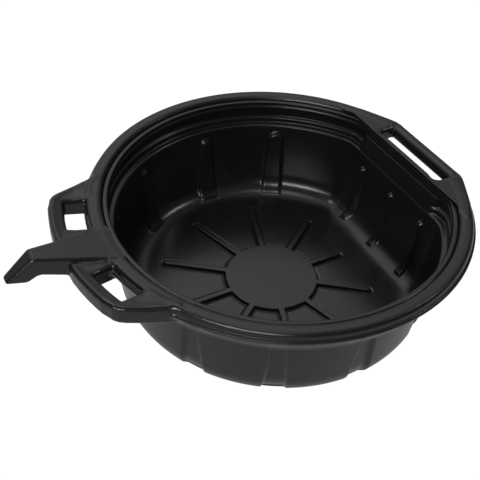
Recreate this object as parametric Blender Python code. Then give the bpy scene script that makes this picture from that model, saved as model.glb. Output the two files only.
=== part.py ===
"""Oil drain pan: a wide round bowl with one flat side, a splash lip, a rolled rim, a raised pouring
spout between two loop handles, and a grip handle over the flat side.

+X points to the grip handle, -X to the spout, +Z is up, and the pan stands on z = 0.
"""

import math

import bmesh
import bpy

for old in list(bpy.data.objects):
    bpy.data.objects.remove(old, do_unlink=True)

MM = 0.001

# Driving dimensions, in metres.
RIM_RADIUS = 246.1 * MM  # outermost edge of the rolled rim
GROOVE_RADIUS = 223.6 * MM  # line between the splash lip and the roll
LIP_RADIUS = 216.0 * MM  # free inner edge of the splash lip
LIP_HEIGHT = 150.0 * MM  # splash lip above the ground
CREST = 4.6 * MM  # roll and handle deck above the lip
SKIRT_DROP = 27.8 * MM  # foot of the rim skirt below the lip
SHELL = 3.3 * MM  # wall thickness of the moulding
GAP = 0.3 * MM  # seam between two regions of the moulding

NECK_RADIUS = 221.5 * MM
LEDGE_RADIUS = 217.8 * MM
SHOULDER_RADIUS = 217.2 * MM
WALL_TOP_RADIUS = 209.3 * MM
WALL_FOOT_RADIUS = 203.3 * MM
FLOOR_RADIUS = 166.0 * MM
LIP_FLAT = 191.5 * MM  # flat side, measured from the bowl's axis
NECK_FLAT = 196.2 * MM
LEDGE_FLAT = 191.6 * MM
SHOULDER_FLAT = 190.8 * MM
WALL_TOP_FLAT = 182.7 * MM
WALL_FOOT_FLAT = 177.7 * MM
FLOOR_FLAT = 141.0 * MM
LIP_EDGE_DROP = 9.6 * MM
NECK_TOP_DROP = 12.3 * MM
NECK_FOOT_DROP = 25.6 * MM
WALL_TOP_DROP = 40.0 * MM
WALL_FOOT_DROP = 114.0 * MM
WALL_CORNER = 42.0 * MM
NECK_CORNER = 12.0 * MM

DISC_RADIUS = 64.5 * MM
DISC_RISE = 4.2 * MM
RIB_HALF_WIDTH = 4.0 * MM
RIB_RISE = 3.0 * MM
RIB_STEP = math.radians(36)
RIB_REACH = 150.0 * MM
SHORT_RIB_REACH = 114.0 * MM

FLUTE_DEPTH = 5.0 * MM
FLUTE_HALF_ANGLE = math.radians(3.4)
FLUTE_TURNS = (60.0, 90.0, 121.0, 150.5)  # degrees from the grip handle, on both sides
FLAT_FLUTE_PITCH = 67.0 * MM
FLAT_FLUTE_HALF_WIDTH = 8.0 * MM
FLUTE_TOP_DROP = 50.0 * MM

DECK_EDGE = 241.6 * MM  # outer edge of the grip handle from the bowl's axis
DECK_DEPTH = 16.6 * MM
GRIP_DEPTH = 19.4 * MM
SLOT_INNER = 200.2 * MM
SLOT_OUTER = 225.0 * MM
SLOT_HALF_LENGTH = 62.0 * MM
GRIP_END = 60.0 * MM

LOOP_RADIUS = 288.5 * MM
LOOP_HOLE_RADIUS = 269.6 * MM
LOOP_TOP = 3.0 * MM
LOOP_DEPTH = 23.5 * MM
LOOP_LIFT = 0.11  # rise of the loops per unit of way outwards
LOOP_LIFT_START = 236.0 * MM
LOOP_CORNER = math.radians(21.0)
LOOP_HOLE_START = math.radians(8.4)

SPOUT_ROOT = 225.6 * MM
SPOUT_BEND = 321.0 * MM
SPOUT_TIP = 354.6 * MM
SPOUT_ROOT_HALF_WIDTH = 30.6 * MM
SPOUT_BEND_HALF_WIDTH = 11.4 * MM
SPOUT_TIP_HALF_WIDTH = 8.0 * MM
SPOUT_RISE = 22.0 * MM  # top of the bend above the lip
SPOUT_FOOT = 26.5 * MM  # underside of the spout's root below the lip
SPOUT_WALL = 2.6 * MM

# The bowl's axis stands off the origin, so that the whole pan is centred on it.
AXIS_X = (SPOUT_TIP - DECK_EDGE) / 2


def plastic(name, shade):
    material = bpy.data.materials.new(name)
    material.use_nodes = True
    shader = material.node_tree.nodes["Principled BSDF"]
    shader.inputs["Base Color"].default_value = (shade, shade, shade, 1)
    shader.inputs["Roughness"].default_value = 0.42
    return material


def make_object(name, points, faces, shade):
    """A closed mesh object; points are measured from the bowl's axis and the lip plane."""
    mesh = bpy.data.meshes.new(name)
    mesh.from_pydata([(x + AXIS_X, y, z + LIP_HEIGHT) for x, y, z in points], [], faces)
    body = bmesh.new()
    body.from_mesh(mesh)
    bmesh.ops.remove_doubles(body, verts=body.verts, dist=1e-6)
    bmesh.ops.recalc_face_normals(body, faces=body.faces)
    body.to_mesh(mesh)
    body.free()
    thing = bpy.data.objects.new(name, mesh)
    bpy.context.collection.objects.link(thing)
    thing.data.materials.append(plastic(name + "_plastic", shade))
    return thing


def loft(name, sections, looped, shade):
    """Joins equal sections, each a closed outline, into one closed body."""
    count = len(sections[0])
    points = [point for section in sections for point in section]
    faces = []
    last = len(sections) if looped else len(sections) - 1
    for row in range(last):
        here, there = row * count, (row + 1) % len(sections) * count
        for k in range(count):
            nxt = (k + 1) % count
            faces.append((here + k, here + nxt, there + nxt, there + k))
    if not looped:
        faces.append(tuple(range(count)))
        faces.append(tuple((last * count) + k for k in range(count)))
    return make_object(name, points, faces, shade)


def prism(name, outline, top, bottom, shade, lift=0.0):
    """A flat-topped body standing on a plan outline; lift tilts it upwards towards the spout."""
    rise = [lift * (-x - LOOP_LIFT_START) for x, y in outline]
    upper = [(x, y, top + up) for (x, y), up in zip(outline, rise)]
    lower = [(x, y, bottom + up) for (x, y), up in zip(outline, rise)]
    return loft(name, [lower, upper], False, shade)


def cut(thing, cutter):
    cutter.hide_render = True
    cutter.display_type = "WIRE"
    joint = thing.modifiers.new("cut_" + cutter.name, "BOOLEAN")
    joint.operation = "DIFFERENCE"
    joint.solver = "EXACT"
    joint.object = cutter


def soften(thing, width, segments=2, limit=50):
    round_off = thing.modifiers.new("soft_edges", "BEVEL")
    round_off.width = width
    round_off.segments = segments
    round_off.limit_method = "ANGLE"
    round_off.angle_limit = math.radians(limit)


def corner_angle(radius, flat, corner):
    """Where the round part ends, and how far along the flat side the rounded corner sits."""
    across = math.sqrt((radius - corner) ** 2 - (flat - corner) ** 2)
    return math.atan2(across, flat - corner), across


def bowl_point(spot, radius, flat, corner):
    """A point of the D-shaped plan. spot runs 0..1 round, 1..2 corner, 2..3 flat, 3..4 corner."""
    angle, across = corner_angle(radius, flat, corner)
    if spot <= 1:
        turn = angle + (2 * math.pi - 2 * angle) * spot
        return radius * math.cos(turn), radius * math.sin(turn)
    if spot < 2:
        turn = -angle * (2 - spot)
        return (
            flat - corner + corner * math.cos(turn),
            -across + corner * math.sin(turn),
        )
    if spot <= 3:
        return flat, across * (2 * (spot - 2) - 1)
    turn = angle * (spot - 3)
    return flat - corner + corner * math.cos(turn), across + corner * math.sin(turn)


def bowl_ring(name, profile, spots, shade, looped=True):
    """A band of the bowl; each profile entry is (radius, flat, corner, height)."""
    sections = []
    for spot in spots:
        sections.append(
            [(*bowl_point(spot, r, flat, corner), z) for r, flat, corner, z in profile]
        )
    return loft(name, sections, looped, shade)


def spread(start, stop, steps):
    return [start + (stop - start) * k / steps for k in range(steps)]


WHOLE_BOWL = spread(0, 1, 40) + spread(1, 2, 4) + spread(2, 3, 4) + spread(3, 4, 4)


def inset(profile, amount):
    """The same profile moved outwards by the wall thickness."""
    return [(r + amount, flat + amount, corner + amount, z) for r, flat, corner, z in profile]


# Neck: the upright band between the splash lip and the inner ledge.
neck_inside = [
    (NECK_RADIUS, NECK_FLAT, NECK_CORNER, -NECK_TOP_DROP),
    (NECK_RADIUS, NECK_FLAT, NECK_CORNER, -NECK_FOOT_DROP),
]
neck = bowl_ring("neck", neck_inside + inset(neck_inside, SHELL)[::-1], WHOLE_BOWL, 0.030)

# Shoulder: two steps under the neck that lead into the main wall.
shoulder_inside = [
    (NECK_RADIUS + SHELL, NECK_FLAT + SHELL, NECK_CORNER, -NECK_FOOT_DROP - GAP),
    (LEDGE_RADIUS, LEDGE_FLAT, NECK_CORNER + 6 * MM, -NECK_FOOT_DROP - GAP),
    (SHOULDER_RADIUS, SHOULDER_FLAT, NECK_CORNER + 8 * MM, -34.2 * MM),
    (WALL_TOP_RADIUS + 1.6 * MM, WALL_TOP_FLAT + 1.6 * MM, WALL_CORNER, -34.9 * MM),
    (WALL_TOP_RADIUS + 0.2 * MM, WALL_TOP_FLAT + 0.2 * MM, WALL_CORNER, -36.4 * MM),
    (WALL_TOP_RADIUS, WALL_TOP_FLAT, WALL_CORNER, -WALL_TOP_DROP),
]
shoulder_outside = [
    (WALL_TOP_RADIUS + SHELL, WALL_TOP_FLAT + SHELL, WALL_CORNER + SHELL, -WALL_TOP_DROP),
    (WALL_TOP_RADIUS + SHELL, WALL_TOP_FLAT + SHELL, WALL_CORNER + SHELL, -38.2 * MM),
    (SHOULDER_RADIUS + SHELL, SHOULDER_FLAT + SHELL, NECK_CORNER + 10 * MM, -37.4 * MM),
    (SHOULDER_RADIUS + SHELL, SHOULDER_FLAT + SHELL, NECK_CORNER + 8 * MM, -30.4 * MM),
    (NECK_RADIUS + SHELL, NECK_FLAT + SHELL, NECK_CORNER, -29.2 * MM),
]
bowl_ring("shoulder", shoulder_inside + shoulder_outside, WHOLE_BOWL, 0.032)


# Round wall and flat wall, with upright flutes pressed inwards.
def flute_push(offset, half_width):
    """How far a flute stands in, as a share of its depth."""
    share = min(1, abs(offset) / half_width)
    return 0.5 + 0.5 * math.cos(math.pi * share)


def flute_fade(height):
    """A flute grows from nothing at its rounded top to full depth lower down."""
    below = (-FLUTE_TOP_DROP - height) / (20 * MM)
    return 0.0 if below <= 0 else min(1.0, 0.55 * below + 0.35)


WALL_HEIGHTS = [
    -WALL_TOP_DROP - GAP,
    -FLUTE_TOP_DROP,
    -FLUTE_TOP_DROP - 3 * MM,
    -66 * MM,
    -96 * MM,
    -WALL_FOOT_DROP,
]


def wall_share(height):
    return (-WALL_TOP_DROP - height) / (WALL_FOOT_DROP - WALL_TOP_DROP)


def wall_plan(height):
    share = wall_share(height)
    return (
        WALL_TOP_RADIUS + (WALL_FOOT_RADIUS - WALL_TOP_RADIUS) * share,
        WALL_TOP_FLAT + (WALL_FOOT_FLAT - WALL_TOP_FLAT) * share,
    )


flute_angles = [math.radians(turn) for turn in FLUTE_TURNS]
flute_angles += [2 * math.pi - turn for turn in flute_angles[::-1]]
round_stations = []
for k, middle in enumerate(flute_angles):
    for share in (-1, -0.5, 0, 0.5, 1):
        round_stations.append((middle + share * FLUTE_HALF_ANGLE, share))
    if k < len(flute_angles) - 1:
        way = flute_angles[k + 1] - middle
        round_stations.append((middle + way / 3, 1))
        round_stations.append((middle + way * 2 / 3, 1))
first_angle = corner_angle(WALL_TOP_RADIUS, WALL_TOP_FLAT, WALL_CORNER)[0] + math.radians(3)
for steps in (1, 2, 3):
    turn = math.radians(60) - FLUTE_HALF_ANGLE
    turn += (first_angle - turn) * steps / 3
    round_stations.insert(0, (turn, 1))
    round_stations.append((2 * math.pi - turn, 1))
sections = []
for turn, share in round_stations:
    inner, outer = [], []
    for height in WALL_HEIGHTS:
        radius = wall_plan(height)[0] - FLUTE_DEPTH * flute_push(share, 1) * flute_fade(height)
        inner.append((radius * math.cos(turn), radius * math.sin(turn), height))
        radius += SHELL
        outer.append((radius * math.cos(turn), radius * math.sin(turn), height))
    sections.append(inner + outer[::-1])
loft("round_wall", sections, False, 0.028)

SEAM = 0.3 * MM / WALL_TOP_RADIUS


def flat_wall_point(spot, height, extra):
    """spot -1..0 is the near corner, 0..1 the flat run, 1..2 the far corner."""
    radius, flat = wall_plan(height)
    corner = WALL_CORNER
    angle, across = corner_angle(radius, flat, corner)
    stop = first_angle - SEAM
    if spot <= 0:
        turn = -stop * min(1, -spot * 2) if spot > -0.5 else -stop
        if turn >= -angle:
            x = flat - corner + (corner + extra) * math.cos(turn)
            return x, -across + (corner + extra) * math.sin(turn), height
        return (radius + extra) * math.cos(turn), (radius + extra) * math.sin(turn), height
    if spot >= 1:
        x, y, z = flat_wall_point(1 - spot, height, extra)
        return x, -y, z
    y = across * (2 * spot - 1)
    push = 0
    for k in (-1, 0, 1):
        push += flute_push(y - k * FLAT_FLUTE_PITCH, FLAT_FLUTE_HALF_WIDTH)
    return flat - FLUTE_DEPTH * push * flute_fade(height) + extra, y, height


reach = corner_angle(WALL_TOP_RADIUS, WALL_TOP_FLAT, WALL_CORNER)[1]
flat_spots = [-0.5, -0.45, -0.3, -0.15, 0]
for k in (-1, 0, 1):
    for share in (-1, -0.5, 0, 0.5, 1):
        y = k * FLAT_FLUTE_PITCH + share * FLAT_FLUTE_HALF_WIDTH
        flat_spots.append(0.5 + 0.5 * y / reach)
flat_spots += [1, 1.15, 1.3, 1.45, 1.5]
sections = []
for spot in flat_spots:
    inner = [flat_wall_point(spot, height, 0) for height in WALL_HEIGHTS]
    outer = [flat_wall_point(spot, height, SHELL) for height in WALL_HEIGHTS]
    sections.append(inner + outer[::-1])
loft("flat_wall", sections, False, 0.028)

# Floor: a flat plate, a rounded edge that turns up from it, and the foot of the wall.
EDGE_TURN = (WALL_FOOT_RADIUS - 10.3 * MM, WALL_FOOT_FLAT - 9.9 * MM, 39 * MM, -138.3 * MM)
EDGE_BACK = (WALL_FOOT_RADIUS - 8.2 * MM, WALL_FOOT_FLAT - 7.8 * MM, 41 * MM, -141.6 * MM)
floor_edge = [
    EDGE_TURN,
    (WALL_FOOT_RADIUS - 21.1 * MM, WALL_FOOT_FLAT - 20.6 * MM, 36 * MM, -144.4 * MM),
    (FLOOR_RADIUS, FLOOR_FLAT, 34 * MM, -146.5 * MM),
    (FLOOR_RADIUS, FLOOR_FLAT, 34 * MM, -150 * MM),
    (FLOOR_RADIUS + 2.5 * MM, FLOOR_FLAT + 2.5 * MM, 34 * MM, -149.9 * MM),
    (WALL_FOOT_RADIUS - 19.1 * MM, WALL_FOOT_FLAT - 18.6 * MM, 38 * MM, -147.8 * MM),
    EDGE_BACK,
]
bowl_ring("floor_edge", floor_edge, WHOLE_BOWL, 0.030)


def lifted(entry):
    """The same edge, moved up and out by the seam."""
    radius, flat, corner, height = entry
    return radius + GAP * 0.4, flat + GAP * 0.4, corner, height + GAP * 1.2


wall_foot = [
    (WALL_FOOT_RADIUS, WALL_FOOT_FLAT, WALL_CORNER, -WALL_FOOT_DROP - GAP),
    (WALL_FOOT_RADIUS - 3.2 * MM, WALL_FOOT_FLAT - 3.0 * MM, 41 * MM, -127.9 * MM),
    lifted(EDGE_TURN),
    lifted(EDGE_BACK),
    (WALL_FOOT_RADIUS + 0.3 * MM, WALL_FOOT_FLAT + 0.4 * MM, 44 * MM, -129.4 * MM),
    (WALL_FOOT_RADIUS + SHELL, WALL_FOOT_FLAT + SHELL, 45 * MM, -WALL_FOOT_DROP - GAP),
]
bowl_ring("wall_foot", wall_foot, WHOLE_BOWL, 0.030)

rows = []
for height in (-150 * MM, -146.5 * MM):
    plate = (FLOOR_RADIUS - GAP, FLOOR_FLAT - GAP, 34 * MM)
    rows.append([(*bowl_point(spot, *plate), height) for spot in WHOLE_BOWL])
loft("floor_pan", rows, False, 0.030)

# Raised disc in the middle of the floor, with the ribs that run out from it.
outline = []
for k in range(10):
    middle = k * RIB_STEP
    reach = SHORT_RIB_REACH if k == 0 else RIB_REACH
    if k in (1, 9):
        reach = 136 * MM
    side = math.asin(RIB_HALF_WIDTH / DISC_RADIUS)
    for along, across in (
        (DISC_RADIUS * math.cos(side), -RIB_HALF_WIDTH),
        (reach - RIB_HALF_WIDTH, -RIB_HALF_WIDTH),
        (reach, -RIB_HALF_WIDTH * 0.4),
        (reach, RIB_HALF_WIDTH * 0.4),
        (reach - RIB_HALF_WIDTH, RIB_HALF_WIDTH),
        (DISC_RADIUS * math.cos(side), RIB_HALF_WIDTH),
    ):
        x = along * math.cos(middle) - across * math.sin(middle)
        y = along * math.sin(middle) + across * math.cos(middle)
        outline.append((x, y))
    for part in (0.25, 0.5, 0.75):
        turn = middle + side + (RIB_STEP - 2 * side) * part
        outline.append((DISC_RADIUS * math.cos(turn), DISC_RADIUS * math.sin(turn)))
floor_top = -146.5 * MM
prism("floor_star", outline, floor_top + GAP + DISC_RISE, floor_top + GAP, 0.034)


def spout_half_width(x):
    share = (x - SPOUT_ROOT) / (SPOUT_BEND - SPOUT_ROOT)
    return SPOUT_ROOT_HALF_WIDTH + (SPOUT_BEND_HALF_WIDTH - SPOUT_ROOT_HALF_WIDTH) * share


def spout_flank_angle(radius, clearance):
    """Angle from the spout's direction at which a circle meets the side of the spout."""
    angle = 0.12
    for _ in range(8):
        angle = math.asin((spout_half_width(radius * math.cos(angle)) + clearance) / radius)
    return angle


# Round bands outside the bowl, which stop at the flat side.
LIP_STOP = LIP_FLAT - GAP


def rim_band(name, profile, shade, side=0, steps=56):
    """A band round the bowl. side 1 or -1 keeps the half that ends at the spout."""
    sections = []
    for k in range(steps + 1):
        section = []
        for radius, height in profile:
            start = math.acos(LIP_STOP / radius)
            stop = 2 * math.pi - start
            if side:
                stop = math.pi - spout_flank_angle(radius, GAP)
            turn = (start + (stop - start) * k / steps) * (side or 1)
            section.append((radius * math.cos(turn), radius * math.sin(turn), height))
        sections.append(section)
    return loft(name, sections, False, shade)



lip_profile = [
    (GROOVE_RADIUS - 0.2 * MM, 0),
    (LIP_RADIUS + 1.2 * MM, 0),
    (LIP_RADIUS, -1.2 * MM),
    (LIP_RADIUS + 0.4 * MM, -LIP_EDGE_DROP),
    (LIP_RADIUS + 3.4 * MM, -LIP_EDGE_DROP),
    (LIP_RADIUS + 3.6 * MM, -SHELL - 1 * MM),
    (NECK_RADIUS, -SHELL - 1 * MM),
    (NECK_RADIUS, -NECK_TOP_DROP + GAP),
    (NECK_RADIUS + SHELL, -NECK_TOP_DROP + GAP),
    (NECK_RADIUS + SHELL, -SHELL),
    (GROOVE_RADIUS - 0.2 * MM, -1.6 * MM),
]
lip = rim_band("splash_lip", lip_profile, 0.036)

roll_profile = [
    (GROOVE_RADIUS + 0.2 * MM, 0.3 * MM),
    (GROOVE_RADIUS + 3.4 * MM, 3.8 * MM),
    (GROOVE_RADIUS + 7.0 * MM, CREST),
    (GROOVE_RADIUS + 11.5 * MM, CREST),
    (GROOVE_RADIUS + 17.0 * MM, 3.4 * MM),
    (RIM_RADIUS - 4.0 * MM, 1.4 * MM),
    (RIM_RADIUS - 3.5 * MM, -0.6 * MM),
    (RIM_RADIUS - 4.2 * MM, -2.0 * MM),
    (RIM_RADIUS - 7.5 * MM, -2.0 * MM),
    (GROOVE_RADIUS + 12.5 * MM, 0.7 * MM),
    (GROOVE_RADIUS + 8 * MM, 1.3 * MM),
    (GROOVE_RADIUS + 4.5 * MM, 0.6 * MM),
    (GROOVE_RADIUS + 1.8 * MM, -2.2 * MM),
]
rim_band("far_rim_roll", roll_profile, 0.036, 1, 26)
rim_band("near_rim_roll", roll_profile, 0.036, -1, 26)

skirt_profile = [
    (RIM_RADIUS - 7.3 * MM, -2.3 * MM),
    (RIM_RADIUS - 4.0 * MM, -2.3 * MM),
    (RIM_RADIUS - 0.8 * MM, -3.6 * MM),
    (RIM_RADIUS, -5.6 * MM),
    (RIM_RADIUS - 1.0 * MM, -8.0 * MM),
    (RIM_RADIUS - 10.5 * MM, -SKIRT_DROP + 1 * MM),
    (RIM_RADIUS - 12.0 * MM, -SKIRT_DROP),
    (RIM_RADIUS - 14.0 * MM, -SKIRT_DROP + 0.8 * MM),
    (RIM_RADIUS - 4.5 * MM, -8.2 * MM),
    (RIM_RADIUS - 5.0 * MM, -5.6 * MM),
]
rim_band("far_rim_skirt", skirt_profile, 0.034, 1, 26)
rim_band("near_rim_skirt", skirt_profile, 0.034, -1, 26)

# Handle deck over the flat side: a hollow-backed plate with a slot for the fingers.
deck_half_chord = math.sqrt(RIM_RADIUS**2 - LIP_FLAT**2)
deck_side = [(LIP_FLAT, deck_half_chord)]
for x in (204 * MM, 214 * MM, 224 * MM, 231 * MM):
    deck_side.append((x, math.sqrt(RIM_RADIUS**2 - x**2)))
deck_side += [
    (235.2 * MM, 75.5 * MM),
    (238.6 * MM, 67 * MM),
    (240.6 * MM, 62.5 * MM),
    (DECK_EDGE, GRIP_END - 1 * MM),
]
deck_outline = [(x, -y) for x, y in deck_side] + deck_side[::-1]


def slot_outline(extra):
    """The finger slot's plan, grown by extra."""
    inner, outer = SLOT_INNER - extra, SLOT_OUTER + extra
    half, corner = SLOT_HALF_LENGTH + extra, 8 * MM + extra
    points = []
    for centre_x, centre_y, start in (
        (outer - corner, half - corner, 0),
        (inner + corner, half - corner, 90),
        (inner + corner, corner - half, 180),
        (outer - corner, corner - half, 270),
    ):
        for step in range(5):
            turn = math.radians(start + 22.5 * step)
            points.append(
                (centre_x + corner * math.cos(turn), centre_y + corner * math.sin(turn))
            )
    return points


deck = prism("handle_deck", deck_outline, CREST, CREST - DECK_DEPTH, 0.040)
shift_in = []
for x, y in deck_outline:
    shift_in.append((max(LIP_FLAT + SHELL, x - SHELL), y - math.copysign(3.6 * MM, y)))
hollow = prism("deck_hollow", shift_in, CREST - SHELL, CREST - 2 * DECK_DEPTH, 0.04)
cut(hollow, prism("slot_collar", slot_outline(SHELL), 2 * CREST, -3 * DECK_DEPTH, 0.04))
slot = prism("slot_hole", slot_outline(0), 2 * CREST, -2 * DECK_DEPTH, 0.04)
grip_room = [
    (SLOT_OUTER - 4 * MM, -GRIP_END),
    (DECK_EDGE + 9 * MM, -GRIP_END),
    (DECK_EDGE + 9 * MM, GRIP_END),
    (SLOT_OUTER - 4 * MM, GRIP_END),
]
cut(deck, hollow)
cut(deck, slot)
cut(deck, prism("grip_room", grip_room, 2 * CREST, -2 * DECK_DEPTH, 0.04))

# Grip bar: the rounded bar outside the slot.
grip_middle = (SLOT_OUTER + DECK_EDGE) / 2
grip_half_width = (DECK_EDGE - SLOT_OUTER) / 2
grip_half_height = GRIP_DEPTH / 2
sections = []
for k in range(9):
    y = (GRIP_END - GAP) * (k / 4 - 1)
    section = []
    for step in range(16):
        turn = 2 * math.pi * step / 16
        wide = math.copysign(abs(math.cos(turn)) ** 0.7, math.cos(turn))
        high = math.copysign(abs(math.sin(turn)) ** 0.7, math.sin(turn))
        x = grip_middle + grip_half_width * wide
        section.append((x, y, CREST - grip_half_height + grip_half_height * high))
    sections.append(section)
loft("grip_bar", sections, False, 0.042)


# Loop handles beside the spout.
def polar(radius, angle):
    """A plan point, with the angle measured from the spout's direction."""
    return -radius * math.cos(angle), radius * math.sin(angle)


clear = RIM_RADIUS + 0.4 * MM
loop_top_start = spout_flank_angle(clear, 0.5 * MM)
loop_far_start = spout_flank_angle(LOOP_RADIUS, 0.5 * MM)
outline = [polar(clear, loop_top_start), polar(clear, LOOP_HOLE_START)]
outline += [polar(LOOP_HOLE_RADIUS - 6 * MM, LOOP_HOLE_START)]
outline += [polar(LOOP_HOLE_RADIUS - 1.6 * MM, LOOP_HOLE_START + 0.008)]
for share in (0.08, 0.36, 0.64, 0.92):
    turn = LOOP_HOLE_START + (LOOP_CORNER - LOOP_HOLE_START) * share
    outline.append(polar(LOOP_HOLE_RADIUS, turn))
outline += [polar(LOOP_HOLE_RADIUS - 1.6 * MM, LOOP_CORNER - 0.006)]
outline += [polar(LOOP_HOLE_RADIUS - 6 * MM, LOOP_CORNER)]
outline += [polar(clear, LOOP_CORNER), polar(clear, math.radians(26))]
outline += [polar(clear, math.radians(30.8))]
outline += [(-236 * MM, 117.4 * MM), (-257 * MM, 109.4 * MM), (-265.5 * MM, 104.2 * MM)]
for share in (1, 0.75, 0.5, 0.25, 0):
    turn = loop_far_start + (math.radians(19.6) - loop_far_start) * share
    outline.append(polar(LOOP_RADIUS, turn))
for side, name in ((1, "far_loop"), (-1, "near_loop")):
    plan = [(x, side * y) for x, y in outline]
    loop = prism(name, plan, LOOP_TOP, LOOP_TOP - LOOP_DEPTH, 0.040, LOOP_LIFT)
    soften(loop, 3.0 * MM, 3)

# Spout: a raised tube that narrows outwards, then bends down to its mouth.
BEND_FLOOR = -4.2 * MM
BODY_END = SPOUT_BEND - 1.5 * MM


def tube_section(x, half_width, top, bottom, wall=0.0):
    """A rounded box outline across the spout."""
    half, roof, base = half_width - wall, top - wall, bottom + wall
    corner = 0.28 * half
    points = []
    for centre_y, centre_z, start in (
        (half - corner, roof - corner, 0),
        (corner - half, roof - corner, 90),
        (corner - half, base + corner, 180),
        (half - corner, base + corner, 270),
    ):
        for step in range(3):
            turn = math.radians(start + 45 * step)
            y = centre_y + corner * math.cos(turn)
            points.append((-x, y, centre_z + corner * math.sin(turn)))
    return points


def spout_top(x):
    share = (x - SPOUT_ROOT) / (SPOUT_BEND - SPOUT_ROOT)
    return CREST + (SPOUT_RISE - CREST) * share


def spout_base(x):
    share = (x - SPOUT_ROOT) / (SPOUT_BEND - SPOUT_ROOT)
    return -SPOUT_FOOT + (BEND_FLOOR + SPOUT_FOOT) * share


outer_tube, inner_tube = [], []
for k in range(5):
    x = SPOUT_ROOT + (BODY_END - SPOUT_ROOT) * k / 4
    size = (spout_half_width(x), spout_top(x), spout_base(x))
    outer_tube.append(tube_section(x, *size))
    inner_tube.append(tube_section(x, *size, SPOUT_WALL))
count = len(outer_tube[0])


def hollow_tube(name, outside, inside, shade):
    """A tube open at both ends, from matching outer and inner sections."""
    points = [point for row in outside + inside for point in row]
    rows, faces = len(outside), []
    for row in range(rows - 1):
        for k in range(count):
            nxt = (k + 1) % count
            a, b = row * count + k, row * count + nxt
            faces.append((a, b, b + count, a + count))
            a, b = a + rows * count, b + rows * count
            faces.append((a, a + count, b + count, b))
    for row in (0, rows - 1):
        for k in range(count):
            nxt = (k + 1) % count
            a, b = row * count + k, row * count + nxt
            faces.append((a, a + rows * count, b + rows * count, b))
    return make_object(name, points, faces, shade)


hollow_tube("spout_body", outer_tube, inner_tube, 0.040)

# Inlet that leads from the bowl, under the splash lip, into the spout.
inlet_plan = [(-232 * MM, -20 * MM), (-212 * MM, -20 * MM), (-212 * MM, 20 * MM), (-232 * MM, 20 * MM)]
inlet = prism("spout_inlet", inlet_plan, -10 * MM, -21 * MM, 0.04)
cut(neck, inlet)
inlet_upper_plan = [(x - 8 * MM if x > -220 * MM else x, y) for x, y in inlet_plan]
cut(lip, prism("spout_inlet_upper", inlet_upper_plan, -5 * MM, -21 * MM, 0.04))

# Spout end: a closed hood whose mouth faces down.
hood_start = BODY_END + GAP
hood = [
    (-hood_start, BEND_FLOOR, SPOUT_RISE, SPOUT_BEND_HALF_WIDTH),
    (-hood_start - 5 * MM, -7.6 * MM, SPOUT_RISE - 1.4 * MM, SPOUT_BEND_HALF_WIDTH - 0.4 * MM),
    (-hood_start - 12 * MM, -10.6 * MM, SPOUT_RISE - 7.6 * MM, SPOUT_BEND_HALF_WIDTH - 1.2 * MM),
    (-SPOUT_TIP + 3 * MM, -7.4 * MM, -2.2 * MM, SPOUT_TIP_HALF_WIDTH + 0.4 * MM),
    (-SPOUT_TIP, -6.6 * MM, -4.6 * MM, SPOUT_TIP_HALF_WIDTH),
]
sections = []
for x, low, high, half in hood:
    sections.append([(x, half, low), (x, half, high - 1.5 * MM), (x, half - 1.5 * MM, high),
                     (x, 1.5 * MM - half, high), (x, -half, high - 1.5 * MM), (x, -half, low)])
sections[-1] = [(x, y, max(z, hood[-1][1] + 0.4 * MM * (k not in (0, 5))))
                for k, (x, y, z) in enumerate(sections[-1])]
tip = loft("spout_end", sections, False, 0.040)
bore = [
    (-hood_start + 1 * MM, BEND_FLOOR + SPOUT_WALL, SPOUT_RISE - SPOUT_WALL),
    (-hood_start - 4 * MM, -3.4 * MM, SPOUT_RISE - 4.4 * MM),
    (-hood_start - 9 * MM, -4.4 * MM, SPOUT_RISE - 8.6 * MM),
    (-SPOUT_TIP + 8.5 * MM, -4.4 * MM, -3.6 * MM),
]
sections = []
for x, low, high in bore:
    half = SPOUT_BEND_HALF_WIDTH - SPOUT_WALL - 0.11 * (-x - hood_start)
    sections.append([(x, half, low), (x, half, high), (x, -half, high), (x, -half, low)])
cut(tip, loft("spout_bore", sections, False, 0.04))
mouth = [(-SPOUT_TIP + 3.2 * MM, 4.6 * MM), (-SPOUT_TIP + 3.2 * MM, -4.6 * MM),
         (-SPOUT_TIP + 19 * MM, -6.6 * MM), (-SPOUT_TIP + 19 * MM, 6.6 * MM)]
cut(tip, prism("spout_mouth", mouth, -3.9 * MM, -22 * MM, 0.04))
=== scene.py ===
"""Oil drain pan, the visible model: a bowl shell, and a rim with its handles and spout.

Shapes are worked out in millimetres, with x and y from the bowl's axis and z from the lip's top.
"""

import math

import bpy
import numpy as np
from mathutils import Matrix, Vector


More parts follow.
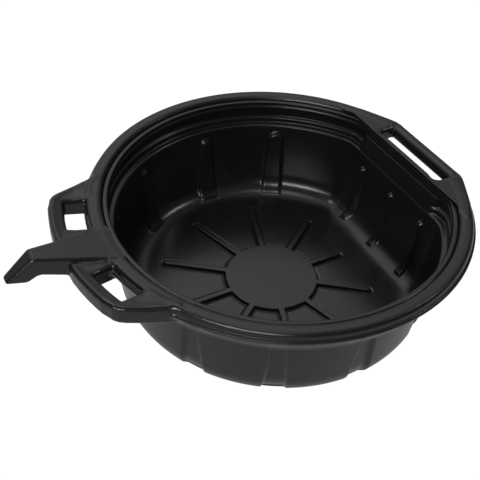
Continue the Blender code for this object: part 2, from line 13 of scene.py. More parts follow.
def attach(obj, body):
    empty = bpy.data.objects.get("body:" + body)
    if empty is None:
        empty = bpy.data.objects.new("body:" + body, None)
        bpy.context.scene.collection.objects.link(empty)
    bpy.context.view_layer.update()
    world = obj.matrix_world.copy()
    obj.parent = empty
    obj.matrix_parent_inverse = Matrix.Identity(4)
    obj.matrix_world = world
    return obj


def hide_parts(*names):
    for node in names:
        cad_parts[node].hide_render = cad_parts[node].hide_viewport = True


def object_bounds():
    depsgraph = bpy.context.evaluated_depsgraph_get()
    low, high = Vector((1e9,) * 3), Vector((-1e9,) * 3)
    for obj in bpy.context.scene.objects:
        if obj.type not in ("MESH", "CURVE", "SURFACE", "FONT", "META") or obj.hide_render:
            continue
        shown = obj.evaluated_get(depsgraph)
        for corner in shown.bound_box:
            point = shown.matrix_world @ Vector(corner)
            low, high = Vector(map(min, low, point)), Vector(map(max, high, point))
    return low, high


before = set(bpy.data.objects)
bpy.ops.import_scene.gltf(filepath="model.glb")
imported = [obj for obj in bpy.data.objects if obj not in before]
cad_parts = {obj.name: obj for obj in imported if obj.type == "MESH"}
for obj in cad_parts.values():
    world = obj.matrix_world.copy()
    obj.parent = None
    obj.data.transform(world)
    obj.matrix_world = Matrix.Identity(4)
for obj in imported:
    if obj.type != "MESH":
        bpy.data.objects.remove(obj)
cad_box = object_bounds()

MM = 0.001
DECK_EDGE = 241.6  # outer edge of the handle deck, from the bowl's axis
SPOUT_PEAK = 22.0  # top of the spout's bend, above the lip
AXIS_X = cad_box[1][0] - DECK_EDGE * MM
LIP_Z = cad_box[1][2] - SPOUT_PEAK * MM

# ---------------------------------------------------------------- plan and profile helpers


def smoothstep(low, high, value):
    t = np.clip((value - low) / (high - low), 0, 1)
    return t * t * (3 - 2 * t)


def d_plan(radius, flat, corner, spots):
    """D-shaped plan: spot 0..1 round part, 1..2 corner, 2..3 flat side, 3..4 corner."""
    across = math.sqrt((radius - corner) ** 2 - (flat - corner) ** 2)
    angle = math.atan2(across, flat - corner)
    turn = np.where(
        spots <= 1,
        angle + (2 * math.pi - 2 * angle) * spots,
        np.where(spots < 2, -angle * (2 - spots), angle * (spots - 3)),
    )
    round_part = spots <= 1
    flat_part = on_flat_side(spots)
    low_corner = (spots > 1) & (spots < 2)
    centre_y = np.where(low_corner, -across, across)
    x = np.where(round_part, radius * np.cos(turn), flat - corner + corner * np.cos(turn))
    y = np.where(round_part, radius * np.sin(turn), centre_y + corner * np.sin(turn))
    x = np.where(flat_part, flat, x)
    y = np.where(flat_part, across * (2 * (spots - 2) - 1), y)
    return x, y


def on_flat_side(spots):
    return (spots >= 2) & (spots <= 3)


def smooth_path(keys, step):
    """Rounds the corners of a path and fills it in. A key is a vector and its rounding's length."""
    points = [np.array(keys[0][0], float)]
    for k in range(1, len(keys) - 1):
        here = np.array(keys[k][0], float)
        back = np.array(keys[k - 1][0], float) - here
        on = np.array(keys[k + 1][0], float) - here
        reach = keys[k][1]
        back_len = np.hypot(back[0], back[-1])
        on_len = np.hypot(on[0], on[-1])
        # Two roundings share the stretch between them, and an end stretch has only one.
        reach_back = min(reach, (0.97 if k == 1 else 0.49) * back_len)
        reach_on = min(reach, (0.97 if k == len(keys) - 2 else 0.49) * on_len)
        start = here + back * reach_back / back_len
        stop = here + on * reach_on / on_len
        count = max(2, int(math.ceil((reach_back + reach_on) / max(step * 0.6, 0.4))))
        for n in range(count + 1):
            t = n / count
            points.append((1 - t) ** 2 * start + 2 * t * (1 - t) * here + t * t * stop)
    points.append(np.array(keys[-1][0], float))
    dense = [points[0]]
    for here in points[1:]:
        gap = np.hypot(here[0] - dense[-1][0], here[-1] - dense[-1][-1])
        count = max(1, int(math.ceil(gap / step)))
        start = dense[-1]
        for n in range(1, count + 1):
            dense.append(start + (here - start) * n / count)
    return np.array(dense)


# ---------------------------------------------------------------- bowl

SHELL = 3.3
FLOOR_Z = -146.5
BASE_Z = -150.0
FOOT_RADIUS, FOOT_FLAT, FOOT_CORNER = 166.0, 141.0, 34.0  # plan of the level part of the floor

# Each key: round part's radius, flat side's distance, corner radius and height, then the rounding.
inner_keys = [
    ((FOOT_RADIUS, FOOT_FLAT, FOOT_CORNER, FLOOR_Z), 0),
    ((200.6, 175.5, 42.0, FLOOR_Z), 33.0),
    ((209.7, 183.0, 42.0, -37.4), 2.0),
    ((211.0, 184.3, 40.0, -35.2), 1.6),
    ((217.2, 190.8, 20.0, -33.6), 0.9),
    ((217.8, 191.6, 18.0, -28.2), 1.4),
    ((218.9, 192.6, 17.0, -26.3), 1.2),
    ((221.8, 196.2, 12.0, -25.0), 0.8),
    ((221.2, 196.0, 10.0, -12.2), 1.0),
    ((219.0, 194.4, 8.0, -10.2), 0.8),
    ((216.8, 191.6, 6.0, -9.8), 0.7),
    ((215.7, 190.5, 5.0, -9.4), 0.5),
    ((215.7, 190.5, 5.0, -7.4), 0.8),
    ((216.7, 191.0, 5.0, -5.7), 0.7),
    ((217.4, 191.4, 5.0, -5.0), 0.3),
    ((217.3, 191.4, 5.0, -0.9), 0.9),
    ((218.3, 191.7, 5.0, 0.0), 0.9),
    ((222.6, 192.6, 5.0, 0.0), 0.8),
    ((223.8, 192.9, 5.0, -1.4), 0.3),
]
outer_keys = [
    ((223.8, 192.9, 5.0, -1.4), 0),
    ((224.8, 199.5, 12.0, -3.4), 0.5),
    ((224.8, 199.5, 12.0, -29.0), 1.5),
    ((221.0, 195.0, 18.0, -29.8), 1.2),
    ((220.4, 194.2, 20.0, -37.4), 1.5),
    ((213.2, 186.2, 42.0, -38.2), 2.0),
    ((204.0, 178.9, 44.0, BASE_Z), 35.5),
    ((FOOT_RADIUS, FOOT_FLAT, FOOT_CORNER, BASE_Z), 0),
]

FLUTE_ANGLES = (60.0, 90.0, 122.4, 152.0, -60.0, -90.0, -119.8, -148.6)
FLUTE_SPREAD = 13.0  # how many degrees from its middle a flute may reach
FLUTE_TOP = -46.5
FLUTE_FALL = 84.0  # the drop over which a flute widens
FLUTE_DEPTH = 5.2
FLUTE_LIMIT = -40.0  # nothing above this height is fluted
WIDE_FLUTE = 60.0
SLIM_FLUTE_START = 140.0
FLAT_FLUTE_TOP = -52.0
FLAT_FLUTE_DEPTH = 5.6
FLAT_FLUTE_PITCH = 67.0
FLAT_FLUTE_MIDDLE = -6.0
PAD_EDGE = 191.4
PAD_TOP = -11.6
PAD_SLOPE = 0.36
PAD_END = 86.0
PAD_LOW, PAD_HIGH = -34.5, -9.0


def flute_push(x, y, z, spots):
    """Inward push of the upright flutes."""
    turn = np.degrees(np.arctan2(y, x))
    radius = np.hypot(x, y)
    nearest = np.full_like(turn, 999.0)
    for angle in FLUTE_ANGLES:
        nearest = np.where(np.abs(turn - angle) < FLUTE_SPREAD, angle, nearest)
    side = np.abs(np.radians(turn - nearest) * radius)
    y_steps = np.clip(np.round((y - FLAT_FLUTE_MIDDLE) / FLAT_FLUTE_PITCH), -1, 1)
    flat_part = on_flat_side(spots)
    flat_side = np.abs(y - FLAT_FLUTE_MIDDLE - y_steps * FLAT_FLUTE_PITCH)
    side = np.where(flat_part, flat_side, side)
    top = np.where(flat_part, FLAT_FLUTE_TOP, FLUTE_TOP)
    fall = np.clip((top - z) / FLUTE_FALL, 0, 1)
    slim = np.where(turn > SLIM_FLUTE_START, 0.6, 1.0)
    wide_half = 10.8 + 3.8 * fall
    usual_half = slim * (7.2 + 7.5 * fall)
    round_half = np.where(nearest == WIDE_FLUTE, wide_half, usual_half)
    half = np.where(flat_part, 5.6 + 0.8 * fall, round_half)
    # The flute's round top: distance to an upright bar with a domed end.
    over = np.maximum(z - (top - half), 0)
    away = np.hypot(side, over) - half
    shape = 1 - smoothstep(-2.2, 0.8, away)
    depth = np.where(flat_part, FLAT_FLUTE_DEPTH, FLUTE_DEPTH)
    return depth * shape * smoothstep(FLOOR_Z + 1, FLOOR_Z + 8, z)


def pad_push(x, y, z, outside):
    """Inward push of the pad behind the finger slot."""
    ends = 1 - smoothstep(PAD_END - 9.0, PAD_END + 2.0, np.abs(y))
    face = PAD_EDGE - PAD_SLOPE * (PAD_TOP - z) + outside
    level = smoothstep(-PAD_TOP - 1.2, -PAD_TOP + 0.4, -z)
    return np.maximum(x - face, 0) * ends * level * (x > 150)


STAR_RISE = 4.0
DISC_RADIUS = 64.4
RIB_TURN = 36.0
RIB_HALF_WIDTH = 4.5
RIB_TIP = 4.6
RIB_REACH = 152.0
CORNER_RIB_REACH = 138.0
FLAT_RIB_REACH = 114.6
STAR_GROOVE_DEPTH = 1.3
STAR_GROOVE_AWAY = 1.5
STAR_GROOVE_WIDTH = 1.2
UNDERSIDE_SHARE = 0.8  # how much of the star's height shows from below


def floor_feature(x, y):
    """Height over the floor of the centre disc and the ten ribs."""
    radius = np.hypot(x, y)
    turn = np.degrees(np.arctan2(y, x))
    which = np.round(turn / RIB_TURN)
    offset = np.radians(turn - which * RIB_TURN)
    along, across = radius * np.cos(offset), radius * np.sin(offset)
    which = np.mod(which, 10)
    reach = np.where(which == 0, FLAT_RIB_REACH, RIB_REACH)
    reach = np.where((which == 1) | (which == 9), CORNER_RIB_REACH, reach)
    beyond = np.maximum(along - (reach - RIB_TIP), 0)
    bar = np.hypot(across, beyond) - RIB_HALF_WIDTH
    edge = np.minimum(np.where(along > 50, bar, 99.0), radius - DISC_RADIUS)
    # A shallow groove runs round the whole star.
    groove = np.exp(-(((edge - STAR_GROOVE_AWAY) / STAR_GROOVE_WIDTH) ** 2))
    return STAR_RISE * (1 - smoothstep(-1.0, 0.8, edge)) - STAR_GROOVE_DEPTH * groove


def wall_ring(radius, flat, corner, z, spots, outside):
    """One level ring of the wall, with the flutes and the pad pushed in."""
    x, y = d_plan(radius, flat, corner, spots)
    if z <= FLUTE_LIMIT:
        push = flute_push(x, y, np.full_like(x, z), spots)
        flat_part = on_flat_side(spots)
        length = np.hypot(x, y)
        x = x - push * np.where(flat_part, 1, x / length)
        y = y - push * np.where(flat_part, 0, y / length)
    if PAD_LOW < z < PAD_HIGH:
        x = x - pad_push(x, y, z, outside)
    return np.stack([x, y, np.full_like(x, z)], 1)


def bowl_mesh():
    """The bowl as rings: out over the floor, up inside, over the lip, down outside, in underneath."""
    quick = 1.0
    stretches = ((0, 560), (1, 36), (2, 124), (3, 36))
    spots = np.concatenate([first + np.arange(0, 1, 1 / round(n / quick)) for first, n in stretches])
    count = len(spots)
    edge_x, edge_y = d_plan(FOOT_RADIUS, FOOT_FLAT, FOOT_CORNER, spots)
    rings = []
    for share in np.linspace(0, 1, round(150 / quick) + 1)[1:-1]:
        x, y = edge_x * share, edge_y * share
        rings.append(np.stack([x, y, FLOOR_Z + floor_feature(x, y)], 1))
    for radius, flat, corner, z in smooth_path(inner_keys, 2.2 * quick):
        rings.append(wall_ring(radius, flat, corner, z, spots, 0.0))
    for radius, flat, corner, z in smooth_path(outer_keys, 2.6 * quick)[1:]:
        rings.append(wall_ring(radius, flat, corner, z, spots, SHELL))
    for share in np.linspace(1, 0, round(90 / quick) + 1)[1:-1]:
        x, y = edge_x * share, edge_y * share
        lift = np.maximum(UNDERSIDE_SHARE * floor_feature(x, y), 0)
        rings.append(np.stack([x, y, BASE_Z + lift], 1))
    top_centre = [[0, 0, FLOOR_Z + STAR_RISE]]
    low_centre = [[0, 0, BASE_Z + UNDERSIDE_SHARE * STAR_RISE]]
    points = np.concatenate(rings + [top_centre, low_centre])
    return points, ring_faces(len(rings), count)


def ring_faces(rows, count):
    """Quads between the rings, and a fan at each end; its two centres come after the rings."""
    ring = np.arange(count)
    following = (ring + 1) % count
    starts = np.arange(rows - 1)[:, None] * count
    a = (starts + ring[None, :]).ravel()
    b = (starts + following[None, :]).ravel()
    quads = np.stack([a, b, b + count, a + count], 1)
    top_fan = np.stack([np.full(count, rows * count), following, ring], 1)
    last = (rows - 1) * count
    low_fan = np.stack([np.full(count, rows * count + 1), last + ring, last + following], 1)
    return quads[:, ::-1].tolist() + top_fan[:, ::-1].tolist() + low_fan[:, ::-1].tolist()


# ---------------------------------------------------------------- distances and blends


def outline_distance(outline, xs, ys):
    """Signed distance to a closed outline, on a grid; inside is negative."""
    gx, gy = np.meshgrid(xs, ys, indexing="ij")
    best = np.full(gx.shape, 1e9)
    inside = np.zeros(gx.shape, bool)
    for (ax, ay), (bx, by) in zip(outline, outline[1:] + outline[:1]):
        ex, ey = bx - ax, by - ay
        px, py = gx - ax, gy - ay
        t = np.clip((px * ex + py * ey) / (ex * ex + ey * ey), 0, 1)
        best = np.minimum(best, (px - t * ex) ** 2 + (py - t * ey) ** 2)
        if ey != 0:
            crosses = (ay > gy) != (by > gy)
            inside ^= crosses & (gx < ex * (gy - ay) / ey + ax)
    return np.where(inside, -1, 1) * np.sqrt(best)


class Table:
    """An outline's distances, read by blending the four nearest. Outside, it repeats its edge."""

    def __init__(self, outline, low, high, step):
        self.low, self.step = low, step
        xs = np.arange(low[0], high[0] + step, step)
        ys = np.arange(low[1], high[1] + step, step)
        self.values = outline_distance(outline, xs, ys).astype(np.float32)

    def __call__(self, x, y):
        u = np.clip((x - self.low[0]) / self.step, 0, self.values.shape[0] - 1.001)
        v = np.clip((y - self.low[1]) / self.step, 0, self.values.shape[1] - 1.001)
        i, j = u.astype(np.int32), v.astype(np.int32)
        u, v = u - i, v - j
        t = self.values
        near = t[i, j] * (1 - v) + t[i, j + 1] * v
        far = t[i + 1, j] * (1 - v) + t[i + 1, j + 1] * v
        return near * (1 - u) + far * u


def blend_min(a, b, k):
    h = np.clip(0.5 + 0.5 * (b - a) / k, 0, 1)
    return b + (a - b) * h - k * h * (1 - h)


def blend_max(a, b, k):
    return -blend_min(-a, -b, k)


def slab(flat_distance, upright_distance, rounding):
    """Joins a plan distance and a height distance into a body with rounded edges."""
    a = flat_distance + rounding
    b = upright_distance + rounding
    return np.minimum(np.maximum(a, b), 0) + np.hypot(np.maximum(a, 0), np.maximum(b, 0)) - rounding


def angle_point(radius, degrees):
    """A plan point, with the angle measured from the spout's direction."""
    turn = math.radians(degrees)
    return -radius * math.cos(turn), radius * math.sin(turn)


# ---------------------------------------------------------------- rim, handles and spout

GROOVE_RADIUS = 223.9  # where the roll rises out of the lip
LIP_FLAT = 191.5
SINK = 1.1  # how far the roll sinks as it passes into the deck

# Section of the roll and its skirt: (radius, height), over the crest, down outside, back up inside.
rim_outline = [
    (224.3, -1.2), (224.8, 1.0), (225.9, 2.9), (227.8, 4.1), (230.6, 4.8), (234.6, 4.9),
    (237.8, 4.8), (239.6, 4.4), (240.9, 3.5), (242.3, 1.4), (242.8, 0.0), (243.0, -1.8),
    (243.2, -3.3), (244.8, -4.1), (245.8, -4.8), (246.1, -6.0), (245.9, -7.4), (243.2, -11.2),
    (237.0, -21.4), (235.7, -24.0), (235.7, -25.6), (235.0, -27.2), (233.4, -27.8),
    (231.6, -27.0), (231.3, -25.6),
    (241.2, -9.0), (241.5, -6.4), (239.6, -2.6), (236.4, 0.6), (231.6, 1.3), (228.4, 0.8),
    (227.0, -0.8), (226.4, -3.2), (224.3, -3.2),
]
rim_table = Table(rim_outline, (216.0, -34.0), (254.0, 12.0), 0.25)

SLOT_INNER = 200.2
SLOT_END = 61.5
DECK_TOP = 4.5
DECK_DEPTH = 15.1
DECK_ROOF = 1.0
DECK_WALL = 3.2
BAR_X, BAR_HALF_WIDTH = 232.6, 8.6
BAR_DEPTH, BAR_HALF_HEIGHT = 5.9, 9.4
BAR_END = 64.0

# Half of the deck's plan, from the flat side out to the grip.
deck_side = [
    (184.0, 0), (184.0, 147.0), (195.0, 136.0), (204.0, 126.0), (211.0, 117.8), (218.2, 106.6),
    (225.0, 95.0), (231.0, 84.4), (236.2, 74.6), (239.4, 66.6), (241.2, 59.0),
    (DECK_EDGE, 52.0), (DECK_EDGE, 0),
]
deck_outline = deck_side + [(x, -y) for x, y in deck_side[::-1] if y > 0]
deck_table = Table(deck_outline, (180.0, -4.0), (254.0, 158.0), 0.5)

LOOP_TOP = 3.0
LOOP_BOTTOM = -20.5
LOOP_TILT = 6.2
LOOP_RIDGE = 1.3
LOOP_DIP = 2.8
LOOP_FILL = 1.4
HOLE_ARCS = ((269.6, 9.2, 19.8), (239.5, 21.2, 8.2))  # radius, first and last angle

loop_outline = [angle_point(238.0, 5.0), angle_point(287.5, 3.4)]
loop_outline += [angle_point(288.5, d) for d in (6, 9, 12, 15, 17.5)]
loop_outline += [(-270.6, 95.6), (-268.4, 100.8), (-264.0, 105.6), (-257.6, 109.2)]
loop_outline += [(-236.0, 117.4), (-214.0, 124.6), (-200.0, 128.6), (-195.0, 122.0)]
loop_outline += [angle_point(236.0, d) for d in (28, 24, 20, 16, 12, 8)]
loop_table = Table(loop_outline, (-300.0, -4.0), (-184.0, 140.0), 0.5)

hole_outline = [
    angle_point(radius, start + (stop - start) * share)
    for radius, start, stop in HOLE_ARCS
    for share in np.linspace(0, 1, 9)
]
hole_table = Table(hole_outline, (-290.0, 10.0), (-210.0, 110.0), 0.5)

SPOUT_ROOT, SPOUT_ROOT_HALF = 225.6, 30.6
SPOUT_BEND, SPOUT_BEND_HALF = 320.0, 11.4
SPOUT_MOST_HALF = 32.0
HOOD_TAPER = 0.104
SPOUT_WALL = 2.8
MOUTH_X, MOUTH_HALF_LENGTH, MOUTH_HALF_WIDTH = 343.0, 7.6, 5.0
MOUTH_DEPTH, MOUTH_HALF_HEIGHT = 8.6, 6.0

# Side view of the spout: (x, height), along its top, round the hood and back under it.
spout_side = [
    (-222.0, 4.4), (-226.0, 4.4), (-232.0, 5.6), (-319.0, 21.8), (-322.4, 22.2), (-325.2, 20.6),
    (-352.8, -2.6), (-354.6, -4.8), (-353.8, -6.4), (-334.0, -10.6), (-329.6, -10.0),
    (-320.0, -4.6), (-315.0, -3.8), (-222.0, -26.5),
]
spout_table = Table(spout_side, (-362.0, -34.0), (-212.0, 30.0), 0.5)


def rim_roll(x, y, z, radius):
    """The roll with its skirt. It sinks a little where it passes into the deck."""
    rim = rim_table(radius, z + SINK * (1 - smoothstep(92.0, 140.0, y)) * (x > 150))
    # It runs on round the deck's two ends, without its skirt, and stops at the grip.
    past = np.maximum(70.0 - y, -11.0 - z)
    return np.maximum(rim, np.minimum(x - LIP_FLAT - 1.0, past))


def handle_deck(x, y, z):
    """The deck, hollow from below, with the finger slot and the grip bar."""
    room = slab(SLOT_INNER - x, y - SLOT_END, 9.0)
    plan = blend_max(deck_table(x, y), -room, 1.5)
    sunk = 3.0 * np.exp(-np.maximum(room, 0) / 5.0) * smoothstep(44.0, 60.0, y)
    deck = slab(plan, np.maximum(z - DECK_TOP + sunk, -DECK_DEPTH - z), 3.6)
    hollow = np.maximum(plan + DECK_WALL, z - DECK_ROOF + sunk)
    deck = np.maximum(deck, -hollow)
    bar = slab(np.abs(x - BAR_X) - BAR_HALF_WIDTH, np.abs(z + BAR_DEPTH) - BAR_HALF_HEIGHT, 6.8)
    return blend_min(deck, blend_max(bar, y - BAR_END, 4.0), 2.6)


def loop_handle(x, y, z, radius):
    """A loop: it rises outward, with a ridge along its edge and a dip round its hole."""
    away = loop_table(x, y)
    gap = hole_table(x, y)
    tilt = LOOP_TILT * np.clip((radius - 246.0) / 40.0, 0, 1.1)
    ridge = LOOP_RIDGE * np.exp(-(((away + 5.4) / 4.2) ** 2))
    dip = LOOP_DIP * np.exp(-np.maximum(gap, 0) / 3.6)
    fill = LOOP_FILL * (1 - smoothstep(247.0, 262.0, radius))
    top = LOOP_TOP + tilt + ridge - dip + fill
    bottom = LOOP_BOTTOM + tilt
    loop = slab(away, np.maximum(z - top, bottom - z), 5.4)
    return blend_max(loop, -gap, 4.0)


def spout_half(x):
    """Half of the spout's width: it narrows along the body, then more slowly along the hood."""
    share = (-x - SPOUT_ROOT) / (SPOUT_BEND - SPOUT_ROOT)
    body = SPOUT_ROOT_HALF + (SPOUT_BEND_HALF - SPOUT_ROOT_HALF) * share
    body = np.maximum(np.minimum(body, SPOUT_MOST_HALF), 0)
    hood = SPOUT_BEND_HALF - (-x - SPOUT_BEND) * HOOD_TAPER
    return np.where(x > -SPOUT_BEND, body, hood)


def spout_parts(x, y, z):
    """The spout's outside, and the space within it down to the mouth."""
    profile = spout_table(x, z)
    side = (y - spout_half(x)) * 0.98
    mouth_plan = np.maximum(np.abs(x + MOUTH_X) - MOUTH_HALF_LENGTH, y - MOUTH_HALF_WIDTH)
    mouth = np.maximum(mouth_plan, np.abs(z + MOUTH_DEPTH) - MOUTH_HALF_HEIGHT)
    within = np.maximum(profile + SPOUT_WALL, side + SPOUT_WALL)
    return slab(profile, side, 4.2), np.minimum(within, mouth)


def rim_field(x, y, z):
    """Signed distance to everything outside the groove. Both sides of the pan are the same."""
    y = np.abs(y)
    radius = np.hypot(x, y)
    field = blend_min(rim_roll(x, y, z, radius), handle_deck(x, y, z), 3.0)
    field = blend_min(field, loop_handle(x, y, z, radius), 5.0)
    spout, within = spout_parts(x, y, z)
    field = np.maximum(blend_min(field, spout, 2.4), -within)
    # Nothing inside the groove line, apart from the deck.
    return np.maximum(field, np.minimum(GROOVE_RADIUS - radius, LIP_FLAT - x))


def grid_values(low, high, step, field):
    """The field on a grid that is the same on both sides of y = 0."""
    xs = np.arange(low[0], high[0], step)
    half_y = np.arange(0.5 * step, high[1], step)
    zs = np.arange(low[2], high[2], step)
    rows = []
    for x in np.array_split(xs, max(1, len(xs) // 24)):
        gx, gy, gz = np.meshgrid(x, half_y, zs, indexing="ij")
        rows.append(field(gx.ravel(), gy.ravel(), gz.ravel()).reshape(gx.shape).astype(np.float32))
    half = np.concatenate(rows)
    ys = np.concatenate([-half_y[::-1], half_y])
    return (xs, ys, zs), np.concatenate([half[:, ::-1], half], axis=1)


def crossing_points(axes, values, step):
    """One point in each cell that the surface crosses, and each cell's number."""
    xs, ys, zs = axes
    inside = values < 0
    corners = [(i, j, k) for i in (0, 1) for j in (0, 1) for k in (0, 1)]
    nx, ny, nz = values.shape

    def part(i, j, k):
        return inside[i : nx - 1 + i, j : ny - 1 + j, k : nz - 1 + k].astype(np.int8)

    total = sum(part(*corner) for corner in corners)
    ci, cj, ck = np.nonzero((total > 0) & (total < 8))
    sums = np.zeros((len(ci), 3))
    hits = np.zeros(len(ci))
    for a in corners:
        for axis in range(3):
            if a[axis]:
                continue
            b = list(a)
            b[axis] = 1
            fa = values[ci + a[0], cj + a[1], ck + a[2]]
            fb = values[ci + b[0], cj + b[1], ck + b[2]]
            hit = (fa < 0) != (fb < 0)
            t = np.where(hit, fa / np.where(hit, fa - fb, 1), 0)
            for n in range(3):
                sums[:, n] += hit * (a[n] + (t if n == axis else 0))
            hits += hit
    points = np.stack([xs[ci], ys[cj], zs[ck]], 1) + sums / hits[:, None] * step
    number = np.full((nx - 1, ny - 1, nz - 1), -1, np.int32)
    number[ci, cj, ck] = np.arange(len(ci))
    return points, number


def crossing_faces(values, number):
    """A face round each grid edge that the surface crosses."""
    inside = values < 0
    faces = []
    for axis in range(3):
        one = [slice(None)] * 3
        two = [slice(None)] * 3
        one[axis], two[axis] = slice(0, -1), slice(1, None)
        here, there = inside[tuple(one)], inside[tuple(two)]
        u, v = [n for n in range(3) if n != axis]
        ids = np.argwhere(here != there)
        ids = ids[(ids[:, u] > 0) & (ids[:, v] > 0)]
        ids = ids[(ids[:, u] < values.shape[u] - 1) & (ids[:, v] < values.shape[v] - 1)]
        flip = here[ids[:, 0], ids[:, 1], ids[:, 2]]
        cells = []
        for du, dv in ((0, 0), (1, 0), (1, 1), (0, 1)):
            cell = ids.copy()
            cell[:, u] -= du
            cell[:, v] -= dv
            cells.append(number[cell[:, 0], cell[:, 1], cell[:, 2]])
        quad = np.stack(cells, 1)
        if axis == 1:
            flip = ~flip
        quad[~flip] = quad[~flip][:, ::-1]
        faces.append(quad)
    return np.concatenate(faces)


def slope(field, points, reach=0.25):
    grad = np.zeros_like(points)
    for n in range(3):
        shift = np.zeros(3)
        shift[n] = reach
        high, low = points + shift, points - shift
        grad[:, n] = (field(*high.T) - field(*low.T)) / (2 * reach)
    return grad


def rim_mesh():
    """The surface where rim_field is zero, with its points drawn onto it and its smooth normals."""
    step = 1.3
    axes, values = grid_values((-357.0, -249.0, -32.0), (247.0, 249.0, 25.0), step, rim_field)
    points, number = crossing_points(axes, values, step)
    faces = crossing_faces(values, number)
    for _ in range(3):
        grad = slope(rim_field, points)
        size = np.maximum((grad**2).sum(1), 0.15)
        move = -(rim_field(*points.T) / size)[:, None] * grad
        length = np.maximum(np.linalg.norm(move, axis=1), 1e-9)
        points = points + move * np.minimum(1, 0.5 * step / length)[:, None]
    grad = slope(rim_field, points, 0.45)
    normals = grad / np.maximum(np.linalg.norm(grad, axis=1), 1e-9)[:, None]
    return points, faces.tolist(), normals


# ---------------------------------------------------------------- pieces and material


def to_object(name, points, faces, normals=None):
    points = np.asarray(points, float) * MM + np.array([AXIS_X, 0, LIP_Z])
    mesh = bpy.data.meshes.new(name)
    mesh.from_pydata(points.tolist(), [], faces)
    mesh.validate()
    mesh.polygons.foreach_set("use_smooth", [True] * len(mesh.polygons))
    if normals is not None and len(normals) == len(mesh.vertices):
        mesh.normals_split_custom_set_from_vertices(normals.tolist())
    mesh.update()
    thing = bpy.data.objects.new(name, mesh)
    bpy.context.collection.objects.link(thing)
    return thing


def black_plastic():
    """Satin black plastic: cloudy tone and gloss, a fine grain and a slow waviness."""
    material = bpy.data.materials.new("moulded_black_plastic")
    material.use_nodes = True
    nodes, links = material.node_tree.nodes, material.node_tree.links
    shader = nodes["Principled BSDF"]
    shader.inputs["IOR"].default_value = 1.5
    place = nodes.new("ShaderNodeTexCoord")

    def noise(scale, detail, rough):
        node = nodes.new("ShaderNodeTexNoise")
        node.inputs["Scale"].default_value = scale
        node.inputs["Detail"].default_value = detail
        node.inputs["Roughness"].default_value = rough
        links.new(place.outputs["Object"], node.inputs["Vector"])
        return node.outputs["Fac"]

    def remap(source, low, high):
        node = nodes.new("ShaderNodeMapRange")
        node.inputs["To Min"].default_value = low
        node.inputs["To Max"].default_value = high
        links.new(source, node.inputs["Value"])
        return node.outputs["Result"]

    def bump(height, strength, distance):
        node = nodes.new("ShaderNodeBump")
        node.inputs["Strength"].default_value = strength
        node.inputs["Distance"].default_value = distance
        links.new(height, node.inputs["Height"])
        return node

    tone = nodes.new("ShaderNodeMix")
    tone.data_type = "RGBA"
    tone.inputs["A"].default_value = (0.0080, 0.0080, 0.0082, 1)
    tone.inputs["B"].default_value = (0.0115, 0.0115, 0.0118, 1)
    links.new(noise(14, 5, 0.6), tone.inputs["Factor"])
    links.new(tone.outputs["Result"], shader.inputs["Base Color"])
    links.new(remap(noise(60, 6, 0.65), 0.19, 0.29), shader.inputs["Roughness"])
    grain = bump(noise(900, 3, 0.6), 0.08, 0.0004)
    flow = bump(noise(22, 3, 0.5), 0.10, 0.002)
    links.new(grain.outputs["Normal"], flow.inputs["Normal"])
    links.new(flow.outputs["Normal"], shader.inputs["Normal"])
    return material


plastic = black_plastic()
bowl = to_object("bowl_shell", *bowl_mesh())
rim = to_object("rim_and_handles", *rim_mesh())
for piece in (bowl, rim):
    piece.data.materials.append(plastic)
    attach(piece, "root")
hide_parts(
    "floor_pan", "floor_edge", "wall_foot", "floor_star", "round_wall", "flat_wall",
    "shoulder", "neck", "splash_lip",
)
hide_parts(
    "far_rim_roll", "near_rim_roll", "far_rim_skirt", "near_rim_skirt", "handle_deck",
    "grip_bar", "far_loop", "near_loop", "spout_body", "spout_end",
)

# ---------------------------------------------------------------- stage, light and camera

FLOOR_HALF = 6.0
FLOOR_GLOW, FLOOR_GLOW_SEEN = 0.40, 0.97
SKY_BRIGHT = 1.38
BACKDROP = (0.02, 0.89, 0.45)


def stage_floor():
    """A pale floor. It glows brighter when seen directly than as a light on the pan."""
    half = FLOOR_HALF
    mesh = bpy.data.meshes.new("stage_floor")
    corners = [(-half, -half, 0), (half, -half, 0), (half, half, 0), (-half, half, 0)]
    mesh.from_pydata(corners, [], [(0, 1, 2, 3)])
    floor = bpy.data.objects.new("stage_floor", mesh)
    bpy.context.collection.objects.link(floor)
    pale = bpy.data.materials.new("pale_floor")
    pale.use_nodes = True
    nodes, links = pale.node_tree.nodes, pale.node_tree.links
    inputs = nodes["Principled BSDF"].inputs
    inputs["Base Color"].default_value = (0.12, 0.12, 0.12, 1)
    inputs["Roughness"].default_value = 0.9
    inputs["Emission Color"].default_value = (1, 1, 1, 1)
    glow = nodes.new("ShaderNodeMapRange")
    glow.inputs["To Min"].default_value = FLOOR_GLOW
    glow.inputs["To Max"].default_value = FLOOR_GLOW_SEEN
    links.new(nodes.new("ShaderNodeLightPath").outputs["Is Camera Ray"], glow.inputs["Value"])
    links.new(glow.outputs["Result"], inputs["Emission Strength"])
    mesh.materials.append(pale)
    return floor


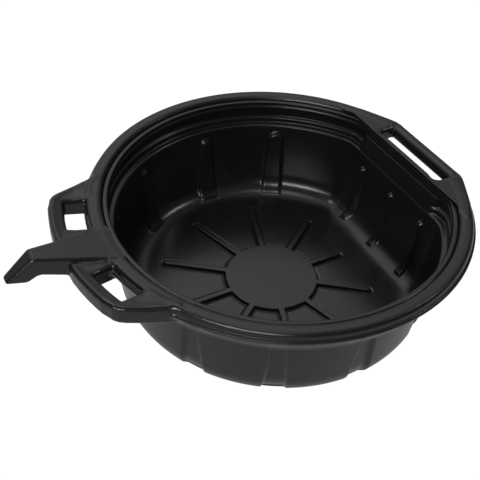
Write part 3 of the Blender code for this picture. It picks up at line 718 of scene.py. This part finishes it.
def studio_sky(tree, bright):
    """Bright overhead on the backdrop's side, dimmer elsewhere and towards the horizon."""
    nodes, links = tree.nodes, tree.links
    where = nodes.new("ShaderNodeTexCoord")

    def ramp(toward, start, stop, dark, light):
        facing = nodes.new("ShaderNodeVectorMath")
        facing.operation = "DOT_PRODUCT"
        facing.inputs[1].default_value = Vector(toward).normalized()
        links.new(where.outputs["Generated"], facing.inputs[0])
        level = nodes.new("ShaderNodeMapRange")
        level.inputs["From Min"].default_value = start
        level.inputs["From Max"].default_value = stop
        level.inputs["To Min"].default_value = dark
        level.inputs["To Max"].default_value = light
        links.new(facing.outputs["Value"], level.inputs["Value"])
        return level.outputs["Result"]

    both = nodes.new("ShaderNodeMath")
    both.operation = "MULTIPLY"
    links.new(ramp(BACKDROP, 0.50, 0.95, 0.12, 1.05), both.inputs[0])
    links.new(ramp((0, 0, 1), 0.50, 0.78, 0.34 * bright, bright), both.inputs[1])
    # Seen directly, the sky is white.
    seen = nodes.new("ShaderNodeMath")
    seen.operation = "MAXIMUM"
    links.new(both.outputs["Value"], seen.inputs[0])
    links.new(nodes.new("ShaderNodeLightPath").outputs["Is Camera Ray"], seen.inputs[1])
    links.new(seen.outputs["Value"], nodes["Background"].inputs["Color"])


def soft_light(name, place, target, size, power, height=None):
    data = bpy.data.lights.new(name, "AREA")
    data.shape = "ELLIPSE" if height else "DISK"
    data.size = size
    data.size_y = height or size
    data.energy = power
    lamp = bpy.data.objects.new(name, data)
    bpy.context.collection.objects.link(lamp)
    lamp.location = place
    lamp.rotation_euler = (Vector(target) - Vector(place)).to_track_quat("-Z", "Y").to_euler()


def main_camera():
    data = bpy.data.cameras.new("camera")
    data.sensor_width = 36.0
    data.lens = 61.16
    data.shift_x = -0.0012
    data.clip_start = 0.05
    data.clip_end = 30
    camera = bpy.data.objects.new("camera", data)
    bpy.context.collection.objects.link(camera)
    azimuth, elevation, roll = math.radians(58.44), math.radians(41.32), math.radians(4.44)
    level = math.cos(elevation)
    forward = Vector((math.cos(azimuth) * level, math.sin(azimuth) * level, -math.sin(elevation)))
    right = forward.cross(Vector((0, 0, 1))).normalized()
    up = right.cross(forward)
    camera_right = math.cos(roll) * right + math.sin(roll) * up
    camera_up = -math.sin(roll) * right + math.cos(roll) * up
    turned = Matrix((camera_right, camera_up, -forward)).transposed().to_4x4()
    camera.matrix_world = Matrix.Translation((-0.4104, -0.6717, 0.7859)) @ turned
    return camera


stage_floor()

world = bpy.data.worlds.new("studio")
bpy.context.scene.world = world
world.use_nodes = True
studio_sky(world.node_tree, SKY_BRIGHT)

soft_light("overhead", (-0.1, -0.2, 3.0), (0, 0, 0.1), 1.2, 7)
soft_light("left_softbox", (-1.25, 0.55, 2.3), (0, 0, 0.1), 0.36, 5)
soft_light("right_softbox", (1.75, -0.55, 1.9), (0, 0, 0.1), 0.36, 5)
soft_light("low_strip", (-1.73, -1.67, 1.3), (0, 0, 0.05), 2.0, 27, 0.30)

bpy.context.scene.view_settings.view_transform = "Standard"
bpy.context.scene.view_settings.look = "None"
bpy.context.scene.camera = main_camera()
